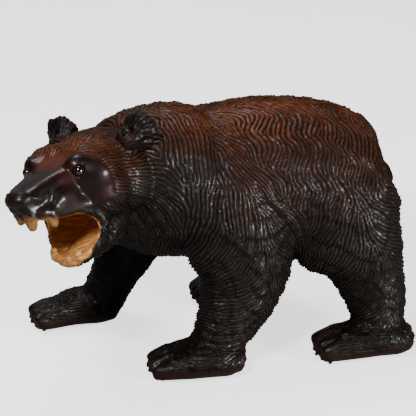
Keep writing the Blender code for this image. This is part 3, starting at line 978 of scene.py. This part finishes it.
@dataclass
class CarvedBear:
    """The wooden body: roughed out, cut, chiselled, combed, and marked for its finish."""

    shift: Array
    room: tuple[Array, Array]
    trunk: Trunk = field(default_factory=Trunk)
    limbs: list[Limb] = field(default_factory=make_limbs)
    head: Head = field(default_factory=Head)
    rough_voxel: float = 1.7
    fine_voxel: float = 1.15
    strokes: Coat = Coat(pitch=3.9, cell=3.9, sharpness=1.8, rounds=7)
    locks: Coat = Coat(pitch=14.0, cell=11.0, sharpness=0.6, seed=3)
    tufts: Coat = Coat(pitch=22.0, cell=9.0, rounds=1, seed=5)
    narrowing: tuple[float, float] = (0.78, 1.16)
    head_closing: float = 0.27
    stroke_depth: float = 1.8
    lock_depth: float = 1.3
    tuft_depth: tuple[float, float] = (0.3, 1.3)
    seat_gap: float = 0.3
    triangles: int = 192000

    def to_metres(self, shells: list[Shell]) -> list[Shell]:
        """Shells of the figure as shells in metres, where the solid parts stand."""
        return [(points * STEP + self.shift, faces) for points, faces in shells]

    def to_steps(self, points: Array) -> Array:
        """Points in metres as steps of the figure."""
        return (points - self.shift) / STEP

    def rough_out(self) -> bpy.types.Object:
        """The melted forms with the mouth and hollows cut, then the teeth and claws joined.

        Returns:
            The skin before any fine carving, with soles flat on the floor.
        """
        shells = self.trunk.shells() + self.head.shells()
        for limb in self.limbs:
            shells += limb.shells()
        bear = new_piece("carved_wood", self.to_metres(shells))
        melt(bear, self.rough_voxel * STEP, 6)
        seat = self.head.eye_radius + self.seat_gap
        cut_away(bear, new_piece("cutters", self.to_metres(self.head.cutters(seat))))
        added = self.head.fillings()
        for limb in self.limbs:
            added += limb.claws()
        extra = new_piece("fillings", self.to_metres(added))
        self.join(bear, extra)
        melt(bear, self.fine_voxel * STEP, 2)
        self.stand(bear)
        return bear

    def join(self, bear: bpy.types.Object, extra: bpy.types.Object) -> None:
        """Puts one object's shells into the other's mesh."""
        joined = [(read_points(obj), [list(face.vertices) for face in obj.data.polygons])
                  for obj in (bear, extra)]
        made = new_piece("joined", joined)
        bear.data = made.data
        bpy.data.objects.remove(made)
        bpy.data.objects.remove(extra)

    def stand(self, bear: bpy.types.Object) -> None:
        """Cuts the soles flat on the floor with a plane, and closes them."""
        mesh = bmesh.new()
        mesh.from_mesh(bear.data)
        everything = [*mesh.verts, *mesh.edges, *mesh.faces]
        bmesh.ops.bisect_plane(mesh, geom=everything, plane_co=(0, 0, 0), plane_no=(0, 0, 1),
                               clear_inner=True)
        edges = [edge for edge in mesh.edges if edge.is_boundary]
        filled = bmesh.ops.holes_fill(mesh, edges=edges, sides=0)["faces"]
        bmesh.ops.triangulate(mesh, faces=filled)
        mesh.to_mesh(bear.data)
        mesh.free()

    def chisel(self, bear: bpy.types.Object) -> None:
        """Lowers and raises the skin by every pass of the tools."""
        points = self.to_steps(read_points(bear))
        normals = read_normals(bear)
        local = self.head.pose.local(points)
        relief = np.zeros(len(points))
        bare = self.head.bare(local)
        for one in self.head.passes():
            relief += one.relief(local) * (1 - bare)
        w = self.head.mouth.wrap(local)
        lines = np.abs(np.sin(9 * w["angle"])) - 0.6
        relief += 0.35 * lines * fade(w["shell"], 1.06, 0.98) * fade(w["shell"], 0.85, 0.93) * bare
        for limb in self.limbs:
            for one in limb.passes():
                relief += one.relief(points)
        relief *= fade(points[:, 2], 0.2, 3.0)
        self.move(bear, points, normals, relief)

    def move(self, bear: bpy.types.Object, points: Array, normals: Array, relief: Array) -> None:
        """Moves the skin along its normals, and keeps it in the solid part's box."""
        moved = (points + normals * relief[:, None]) * STEP + self.shift
        write_points(bear, np.clip(moved, *self.room))

    def coat_share(self, points: Array, local: Array) -> Array:
        """How much coat there is: none on the face, in the mouth and on the edges of the soles."""
        share = (1 - self.head.polish(local)) * (1 - self.head.bare(local))
        share *= fade(points[:, 2], 8, 16)
        for limb in self.limbs:
            x, y, z, breadth, _ = limb.paw.stations[-2]
            toes = (fade(points[:, 0], x + 7, x - 1) * fade(points[:, 2], z + 34, z + 22)
                    * (np.abs(points[:, 1] - y) < breadth + 12) * (points[:, 0] > x - 30))
            share *= 1 - toes
        return share

    def on_head(self, local: Array) -> Array:
        """Share of the head's own coat, from 0 on the neck to 1 on the cheeks and crown."""
        return fade(local[:, 0], -92, -64)

    def spread(self, points: Array, local: Array) -> Array:
        """Pitch of the strokes as a share: closer on the legs, the band and the head."""
        share = np.interp(points[:, 2], (50, 200), self.narrowing) * self.trunk.closeness(points)
        share *= 1 - self.head_closing * self.on_head(local)
        return share * (1 + 0.16 * ripple(points, 60, 0.4) + 0.16 * ripple(points, 26, 1.7))

    def ways(self, points: Array, normals: Array, local: Array) -> Array:
        """Stroke directions in the skin: each form's comb, weighted by how near its skin is."""
        total = np.zeros_like(points)
        for way, share in [self.trunk.comb(points), self.head.comb(points),
                           *(limb.comb(points) for limb in self.limbs),
                           *(limb.instep(points, normals) for limb in self.limbs)]:
            total += flatten(way, normals) * share[:, None]
        total = unit(flatten(total, normals))
        bend = 0.26 * ripple(points, 27, 1.0) + 0.24 * ripple(points, 12, 2.0)
        bend += 0.3 * ripple(points, 8, 3.0) * fade(points[:, 2], 150, 110)
        bend += 0.4 * ripple(points, 17, 4.0) * self.on_head(local)
        aside = np.cross(normals, total)
        return unit(total * np.cos(bend)[:, None] + aside * np.sin(bend)[:, None])

    def worn(self, points: Array, normals: Array, local: Array, polish: Array) -> Array:
        """How worn the stain is: most on the back, the crown and the cheeks, and not on the ears.

        Args:
            points: n x 3 points, in steps.
            normals: the skin's normals there.
            local: the same points in the head's frame.
            polish: the share of the polished face there.

        Returns:
            From 0 where the stain is whole to 1 where it is worn through.
        """
        f, l, u = local.T
        high = fade(points[:, 2], 205, 262) * fade(normals[:, 2], 0.05, 0.9)
        high *= 1 - 0.35 * fade(points[:, 0], 0, -50)
        flank = 0.2 * fade(points[:, 2], 125, 205) * fade(points[:, 0], -20, 30)
        crown = fade(u, 1, 13) * fade(f, -74, -34) * fade(f, 36, 4)
        worn = np.maximum(0.9 * high + flank, crown)
        worn *= 1 - polish * (1 - fade(np.abs(l), 25, 13))
        cheek = ((local - np.array((-38, 46, -6))) / np.array((30, 32, 24))) ** 2
        worn = np.maximum(worn, 0.62 * np.exp(-cheek.sum(axis=1)))
        worn *= 1 - (fade(np.abs(l), 34, 42) * fade(f, -112, -100) * fade(f, -60, -72)
                     * fade(u, -16, -6))
        spot = ((local - np.array((-75, 48, 5.5))) ** 2).sum(axis=1)
        return np.maximum(worn, np.exp(-spot / 14))

    def comb(self, bear: bpy.types.Object) -> None:
        """Cuts the locks, tufts and strokes into the skin, and marks it for its finish."""
        points = self.to_steps(read_points(bear))
        normals = read_normals(bear)
        local = self.head.pose.local(points)
        ways = self.ways(points, normals, local)
        share = self.coat_share(points, local)
        spread = self.spread(points, local)
        fine = self.strokes.ridges(points, normals, ways, spread)
        broad = self.locks.ridges(points, normals, ways, spread)
        tuft = self.tufts.tufts(points, normals, ways, spread)
        low = fade(points[:, 2], 205, 140) * fade(points[:, 2], 20, 45)
        tuft_depth = self.tuft_depth[0] + (self.tuft_depth[1] - self.tuft_depth[0]) * low
        uneven = 1 + 0.3 * ripple(points, 32, 0.2) + 0.35 * ripple(points, 13, 1.3)
        uneven += 0.3 * ripple(points, 7, 2.2)
        uneven *= 1 - 0.25 * self.on_head(local)
        for ear in (self.head.ear, self.head.ear.mirrored()):
            uneven *= 1 - 0.45 * fade(np.linalg.norm(local - np.array(ear.middle), axis=1), 28, 22)
        relief = share * (self.stroke_depth * uneven * (fine - 0.5)
                          + self.lock_depth * (broad - 0.65) + tuft_depth * (tuft - 0.6))
        self.move(bear, points, normals, relief)
        polish = self.head.polish(local) * (local[:, 0] > -40)
        marks = {
            Mark.RIDGE: share * fine + (1 - share) * 0.55,
            Mark.WORN: self.worn(points, normals, local, polish),
            Mark.POLISH: polish,
            Mark.BARE: self.head.bare(local),
            Mark.SOLE: fade(points[:, 2], 17, 9),
        }
        for mark, values in marks.items():
            write_mark(bear, mark, values)

    def build(self) -> bpy.types.Object:
        """Makes the whole carving.

        Returns:
            The finished piece, without its material.
        """
        bear = self.rough_out()
        log.info("roughed out: %d points", len(bear.data.vertices))
        self.chisel(bear)
        self.comb(bear)
        thin(bear, self.triangles)
        write_points(bear, np.clip(read_points(bear), *self.room))
        log.info("carved: %d faces", len(bear.data.polygons))
        bear.data.shade_smooth()
        return bear


# ------------------------------------------------------------------ shader work


class Sheet:
    """A node tree with short ways to add and join nodes."""

    def __init__(self, tree: bpy.types.NodeTree) -> None:
        """Takes the tree that the nodes go into."""
        self.tree = tree

    def add(self, kind: str, **values: object) -> bpy.types.Node:
        """A new node; values name its settings, or its sockets when they start with i_."""
        node = self.tree.nodes.new(kind)
        for key, value in values.items():
            if key.startswith("i_"):
                self.feed(node.inputs[key[2:].replace("_", " ")], value)
            else:
                setattr(node, key, value)
        return node

    def feed(self, socket: bpy.types.NodeSocket, value: object) -> None:
        """Sets a socket to a value, or joins it to another node's socket."""
        if isinstance(value, bpy.types.NodeSocket):
            self.tree.links.new(value, socket)
        else:
            socket.default_value = value

    def math(self, operation: str, one: object, two: object = 0.0,
             clamp: bool = False) -> bpy.types.NodeSocket:
        """Result of a Math node."""
        node = self.add("ShaderNodeMath", operation=operation, use_clamp=clamp)
        self.feed(node.inputs[0], one)
        self.feed(node.inputs[1], two)
        return node.outputs[0]

    def mix(self, share: object, one: object, two: object,
            blend: str = "MIX") -> bpy.types.NodeSocket:
        """Colour between two colours."""
        node = self.add("ShaderNodeMix", data_type="RGBA", blend_type=blend)
        self.feed(node.inputs[0], share)
        self.feed(node.inputs[6], one)
        self.feed(node.inputs[7], two)
        return node.outputs[2]

    def ramp(self, value: object, low: float, high: float, out_low: float = 0.0,
             out_high: float = 1.0) -> bpy.types.NodeSocket:
        """A value carried smoothly from one range to another."""
        node = self.add("ShaderNodeMapRange", interpolation_type="SMOOTHSTEP", i_Value=value)
        for key, number in (("From Min", low), ("From Max", high), ("To Min", out_low),
                            ("To Max", out_high)):
            node.inputs[key].default_value = number
        return node.outputs[0]

    def mark(self, mark: Mark) -> bpy.types.NodeSocket:
        """The value written on the skin under a mark's name."""
        return self.add("ShaderNodeAttribute", attribute_name=mark.value).outputs["Fac"]

    def noise(self, where: object, scale: float, detail: float = 3.0,
              rough: float = 0.55) -> bpy.types.NodeSocket:
        """Value of a Noise texture."""
        return self.add("ShaderNodeTexNoise", i_Vector=where, i_Scale=scale, i_Detail=detail,
                        i_Roughness=rough).outputs["Fac"]


def grain_group() -> bpy.types.NodeTree:
    """Wood grain as a group: streaks drawn out along X, blotches of stain, and fine pores.

    Returns:
        A group with inputs Stretch and Scale, and outputs Streak, Blotch and Pore.
    """
    tree = bpy.data.node_groups.new("wood grain", "ShaderNodeTree")
    for name, value in (("Scale", 1.0), ("Stretch", 0.14)):
        socket = tree.interface.new_socket(name, in_out="INPUT", socket_type="NodeSocketFloat")
        socket.default_value = value
    for name in ("Streak", "Blotch", "Pore"):
        tree.interface.new_socket(name, in_out="OUTPUT", socket_type="NodeSocketFloat")
    sheet = Sheet(tree)
    given = sheet.add("NodeGroupInput")
    put = sheet.add("NodeGroupOutput")
    where = sheet.add("ShaderNodeTexCoord").outputs["Object"]
    part = sheet.add("ShaderNodeSeparateXYZ", i_Vector=where)
    drawn = sheet.add("ShaderNodeCombineXYZ", i_X=sheet.math(
        "MULTIPLY", part.outputs[0], given.outputs["Stretch"]), i_Y=part.outputs[1],
        i_Z=part.outputs[2])
    sized = sheet.add("ShaderNodeVectorMath", operation="SCALE", i_Vector=drawn.outputs[0],
                      i_Scale=given.outputs["Scale"])
    sheet.feed(put.inputs["Streak"], sheet.noise(sized.outputs[0], 420.0, 4.0))
    sheet.feed(put.inputs["Blotch"], sheet.noise(where, 26.0, 4.0, 0.6))
    sheet.feed(put.inputs["Pore"], sheet.noise(sized.outputs[0], 1500.0, 2.0))
    return tree


@dataclass(frozen=True)
class WoodFinish:
    """Stained, waxed and worn wood, darker in the cuts partly as painted shade, with the mouth left
    bare.

    Groove and crest are the stained coat, and the worn ones are the worn-through coat from the
    floor of a groove, up its side, to the crest. Darker grooves and lighter crests are partly the
    stain and its wear, and partly painted shade in the grooves and painted highlights on the
    crests. Face is the polished skin, and bare the raw wood, which is held back from the front
    teeth as painted shade.
    """

    groove: Row = (0.0018, 0.0010, 0.0008, 1)
    crest: Row = (0.029, 0.0165, 0.0105, 1)
    worn_groove: Row = (0.006, 0.0020, 0.0009, 1)
    worn_side: Row = (0.074, 0.0110, 0.0010, 1)
    worn_crest: Row = (0.125, 0.043, 0.011, 1)
    face: Row = (0.0045, 0.0010, 0.0007, 1)
    face_warm: Row = (0.024, 0.0032, 0.0011, 1)
    sole: Row = (0.018, 0.006, 0.0035, 1)
    bare: Row = (0.74, 0.36, 0.11, 1)
    bare_dark: Row = (0.38, 0.15, 0.04, 1)

    def material(self, grain: bpy.types.NodeTree) -> bpy.types.Material:
        """Builds the finish.

        Args:
            grain: the wood grain group.

        Returns:
            A material that reads the marks on the skin.
        """
        made = bpy.data.materials.new("stained and bare wood")
        made.use_nodes = True
        sheet = Sheet(made.node_tree)
        shader = made.node_tree.nodes["Principled BSDF"]
        marks = {mark: sheet.mark(mark) for mark in Mark}
        streaks = sheet.add("ShaderNodeGroup", node_tree=grain)
        streak, blotch, pore = (streaks.outputs[i] for i in range(3))
        # Crests lighter and grooves darker by the ridge mark: partly the stain and its wear, partly
        # painted highlights on the crests and painted shade in the grooves.
        lift = sheet.math("ADD", marks[Mark.RIDGE], sheet.ramp(streak, 0.3, 0.7, -0.18, 0.18))
        crest = sheet.ramp(lift, 0.35, 1.0)
        rubbed = sheet.math("MULTIPLY", crest, sheet.ramp(blotch, 0.32, 0.62, 0.35, 1.0))
        tone = sheet.mix(rubbed, self.groove, self.crest)
        rubbed = sheet.math("MULTIPLY", marks[Mark.WORN], sheet.ramp(blotch, 0.3, 0.62, 0.35, 1.0))
        # The worn coat is also darker in its grooves and lighter on its crests: partly wear, partly
        # painted shade and painted highlights.
        side = sheet.mix(sheet.ramp(lift, 0.0, 0.45), self.worn_groove, self.worn_side)
        tone = sheet.mix(rubbed, tone, sheet.mix(crest, side, self.worn_crest))
        tone = sheet.mix(sheet.math("MULTIPLY", marks[Mark.SOLE], 0.7), tone, self.sole)
        glow = sheet.ramp(sheet.noise(sheet.add("ShaderNodeTexCoord").outputs["Object"], 34.0),
                          0.45, 0.68)
        face = sheet.mix(sheet.math("MULTIPLY", glow, 0.7), self.face, self.face_warm)
        face = sheet.mix(sheet.ramp(marks[Mark.WORN], 0.2, 1.0, 0.0, 0.9), face, self.worn_side)
        tone = sheet.mix(marks[Mark.POLISH], tone, face)
        raw = sheet.mix(sheet.ramp(streak, 0.36, 0.66), self.bare_dark, self.bare)
        raw = sheet.mix(sheet.ramp(pore, 0.52, 0.7, 0.0, 0.5), raw, self.bare_dark)
        # The bare share is lowered on the front teeth, which paints shade on them.
        tone = sheet.mix(marks[Mark.BARE], tone, raw)
        sheet.feed(shader.inputs["Base Color"], tone)
        rough = sheet.ramp(marks[Mark.RIDGE], 0.0, 1.0, 0.6, 0.4)
        rough = sheet.math("ADD", rough, sheet.ramp(blotch, 0.3, 0.7, -0.05, 0.07))
        smooth = sheet.math("MULTIPLY", marks[Mark.POLISH], 0.03)
        rough = sheet.math("SUBTRACT", rough, smooth)
        rough = sheet.math("ADD", rough, sheet.math("MULTIPLY", marks[Mark.BARE], 0.16))
        sheet.feed(shader.inputs["Roughness"], rough)
        shader.inputs["Specular IOR Level"].default_value = 0.13
        shine = sheet.math("MULTIPLY", marks[Mark.RIDGE], 0.24)
        shine = sheet.math("MULTIPLY", shine, sheet.ramp(blotch, 0.35, 0.65, 0.2, 1.0))
        shine = sheet.math("MAXIMUM", shine, sheet.math("MULTIPLY", marks[Mark.POLISH], 0.27))
        shine = sheet.math("MULTIPLY", shine, sheet.math("SUBTRACT", 1.0, marks[Mark.BARE]))
        sheet.feed(shader.inputs["Coat Weight"], shine)
        shader.inputs["Coat Roughness"].default_value = 0.19
        bump = sheet.add("ShaderNodeBump", i_Height=sheet.math(
            "ADD", sheet.math("MULTIPLY", streak, 0.6), sheet.math("MULTIPLY", pore, 0.4)),
            i_Strength=0.25, i_Distance=0.0004)
        sheet.feed(shader.inputs["Normal"], bump.outputs[0])
        return made


@dataclass(frozen=True)
class GlassFinish:
    """Black glass with a dark pupil and a thin brown ring, under a clear polish."""

    pupil: Row = (0.003, 0.002, 0.002, 1)
    ring: Row = (0.05, 0.018, 0.006, 1)
    start: float = 0.8
    end: float = 0.95

    def material(self) -> bpy.types.Material:
        """A material that reads how far each point is from the eye's outward pole."""
        made = bpy.data.materials.new("black glass")
        made.use_nodes = True
        sheet = Sheet(made.node_tree)
        shader = made.node_tree.nodes["Principled BSDF"]
        away = sheet.add("ShaderNodeAttribute", attribute_name="away").outputs["Fac"]
        tone = sheet.mix(sheet.ramp(away, self.start, self.end), self.pupil, self.ring)
        where = sheet.add("ShaderNodeTexCoord").outputs["Object"]
        cloudy = sheet.ramp(sheet.noise(where, 900.0), 0.3, 0.7, 0.03, 0.07)
        sheet.feed(shader.inputs["Base Color"], tone)
        sheet.feed(shader.inputs["Roughness"], cloudy)
        shader.inputs["Coat Weight"].default_value = 1.0
        shader.inputs["Coat Roughness"].default_value = 0.02
        return made


@dataclass
class GlassEye:
    """A glass eye: a round ball with its outward pole marked."""

    side: Side
    middle: Array
    outward: Array
    radius: float

    def build(self, finish: GlassFinish) -> bpy.types.Object:
        """Makes the ball: middle + radius (sin p cos a, sin p sin a, cos p).

        Args:
            finish: the glass.

        Returns:
            The finished piece.
        """
        points, faces = Ball((0, 0, 0), (self.radius,) * 3).shell(24, 48)
        away = np.arccos(np.clip(unit(points) @ unit(self.outward), -1, 1)) / (math.pi / 2)
        made = new_piece(f"glass_eye_{self.side.name.lower()}", [(points + self.middle, faces)])
        layer = made.data.attributes.new("away", "FLOAT", "POINT")
        layer.data.foreach_set("value", away.astype(np.float32))
        made.data.shade_smooth()
        made.data.materials.append(finish.material())
        return made


# ------------------------------------------------------------------ room


@dataclass(frozen=True)
class Studio:
    """A pale floor, a pale room, soft lights and the camera.

    Each lamp has a name, its place, its size, its power and the point it looks at.
    """

    azimuth: float = math.radians(-18)
    elevation: float = math.radians(24)
    distance: float = 3.0
    focal: float = 3000.0
    width: float = 416.0
    aim: tuple[float, float] = (0.0106, 0.1284)
    floor: Row = (0.86, 0.86, 0.86, 1)
    floor_size: float = 6.0
    floor_drop: float = 0.0005
    floor_glow: float = 1.6
    wall: tuple[float, float] = (0.045, 0.36)
    wall_seen: float = 8.0
    bounce: float = 0.3
    lamps: tuple[tuple[str, Row, float, float, Row], ...] = (
        ("key", (-1.0, -1.1, 1.5), 0.45, 42.0, (0, 0, 0.1)),
        ("fill", (1.45, -2.0, 0.55), 0.6, 84.0, (0.05, 0, 0.05)),
        ("top", (-0.1, 0.6, 1.6), 0.6, 13.0, (0, 0, 0.12)),
    )

    def axes(self) -> tuple[Vector, Vector, Vector]:
        """The camera's right, up and back directions."""
        az, el = self.azimuth, self.elevation
        right = Vector((math.cos(az), math.sin(az), 0))
        up = Vector((-math.sin(az) * math.sin(el), math.cos(az) * math.sin(el), math.cos(el)))
        return right, up, right.cross(up)

    def camera(self, shift: Array) -> None:
        """Sets the camera at the photograph's angle, looking at the figure's middle."""
        right, up, back = self.axes()
        target = right * self.aim[0] + up * self.aim[1] + Vector(shift)
        data = bpy.data.cameras.new("camera")
        data.sensor_fit = "HORIZONTAL"
        data.sensor_width = 36.0
        data.lens = 36.0 * self.focal / self.width
        made = bpy.data.objects.new("camera", data)
        made.matrix_world = (Matrix.Translation(target + back * self.distance)
                             @ Matrix((right, up, back)).transposed().to_4x4())
        bpy.context.scene.collection.objects.link(made)
        bpy.context.scene.camera = made

    def lamp(self, name: str, place: Row, size: float, power: float, aim: Row) -> None:
        """A square soft lamp that looks at a point."""
        data = bpy.data.lights.new(name, "AREA")
        data.shape = "SQUARE"
        data.size = size
        data.energy = power
        made = bpy.data.objects.new(name, data)
        way = Vector(aim) - Vector(place)
        made.matrix_world = (Matrix.Translation(Vector(place))
                             @ way.to_track_quat("-Z", "Y").to_matrix().to_4x4())
        bpy.context.scene.collection.objects.link(made)

    def build(self, shift: Array) -> bpy.types.Object:
        """Makes the floor, the lights and the camera, and returns the floor."""
        self.camera(shift)
        corners = np.array(((-1, -1, 0), (1, -1, 0), (1, 1, 0), (-1, 1, 0))) * self.floor_size
        floor = new_piece("floor", [(corners - np.array((0, 0, self.floor_drop)), [[0, 1, 2, 3]])])
        made = bpy.data.materials.new("pale floor")
        made.use_nodes = True
        shader = made.node_tree.nodes["Principled BSDF"]
        shader.inputs["Roughness"].default_value = 0.6
        shader.inputs["Emission Color"].default_value = (1, 1, 1, 1)
        sheet = Sheet(made.node_tree)
        seen = sheet.add("ShaderNodeLightPath").outputs["Is Camera Ray"]
        dim = (self.bounce, self.bounce, self.bounce, 1)
        sheet.feed(shader.inputs["Base Color"], sheet.mix(seen, dim, self.floor))
        glow = sheet.math("MULTIPLY", seen, self.floor_glow)
        sheet.feed(shader.inputs["Emission Strength"], glow)
        floor.data.materials.append(made)
        world = bpy.context.scene.world or bpy.data.worlds.new("room")
        bpy.context.scene.world = world
        world.use_nodes = True
        sheet = Sheet(world.node_tree)
        way = sheet.add("ShaderNodeVectorMath", operation="DOT_PRODUCT",
                        i_Vector=sheet.add("ShaderNodeTexCoord").outputs["Generated"])
        way.inputs[1].default_value = -self.axes()[2]
        wall = sheet.ramp(way.outputs["Value"], -0.3, 0.8, self.wall[0], self.wall[1])
        seen = sheet.add("ShaderNodeLightPath").outputs["Is Camera Ray"]
        strength = sheet.add("ShaderNodeMix", data_type="FLOAT", i_Factor=seen)
        sheet.feed(strength.inputs[2], wall)
        strength.inputs[3].default_value = self.wall_seen
        back = world.node_tree.nodes["Background"]
        back.inputs["Color"].default_value = (1, 1, 1, 1)
        sheet.feed(back.inputs["Strength"], strength.outputs[0])
        for lamp in self.lamps:
            self.lamp(*lamp)
        return floor


# ------------------------------------------------------------------ main


def middle_of(node: str) -> Array:
    """Middle of a solid part's box, in metres."""
    low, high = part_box(node)
    return (np.array(low) + np.array(high)) / 2


def main() -> None:
    """Builds the carving, the eyes and the room around the solid parts."""
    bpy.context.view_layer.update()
    head = Head()
    f, l, u = head.eye
    placed = {side: head.pose.place(np.array((f, l * side.value, u))) * STEP for side in Side}
    shift = middle_of("left_eye") - placed[Side.LEFT]
    shift[2] = 0.0
    log.info("shift %s", shift)
    room = tuple(np.array(corner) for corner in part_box("bear"))
    bear = CarvedBear(shift, room, head=head)
    wood = bear.build()
    wood.data.materials.append(WoodFinish().material(grain_group()))
    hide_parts("bear")
    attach(wood, "root")
    for side, node in ((Side.LEFT, "left_eye"), (Side.RIGHT, "right_eye")):
        out = head.pose.axes() @ unit(np.array((0.45, side.value, 0.2)))
        eye = GlassEye(side, middle_of(node), out, head.eye_radius * STEP).build(GlassFinish())
        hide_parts(node)
        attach(eye, "root")
        log.info("%s: %d points", eye.name, len(eye.data.vertices))
    floor = Studio().build(shift)


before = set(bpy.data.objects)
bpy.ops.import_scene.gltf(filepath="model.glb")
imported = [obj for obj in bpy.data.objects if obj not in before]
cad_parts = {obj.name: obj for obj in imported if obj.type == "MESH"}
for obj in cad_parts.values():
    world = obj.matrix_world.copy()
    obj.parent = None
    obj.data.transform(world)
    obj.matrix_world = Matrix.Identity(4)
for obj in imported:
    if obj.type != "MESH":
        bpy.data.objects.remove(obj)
if __name__ == "__main__":
    main()
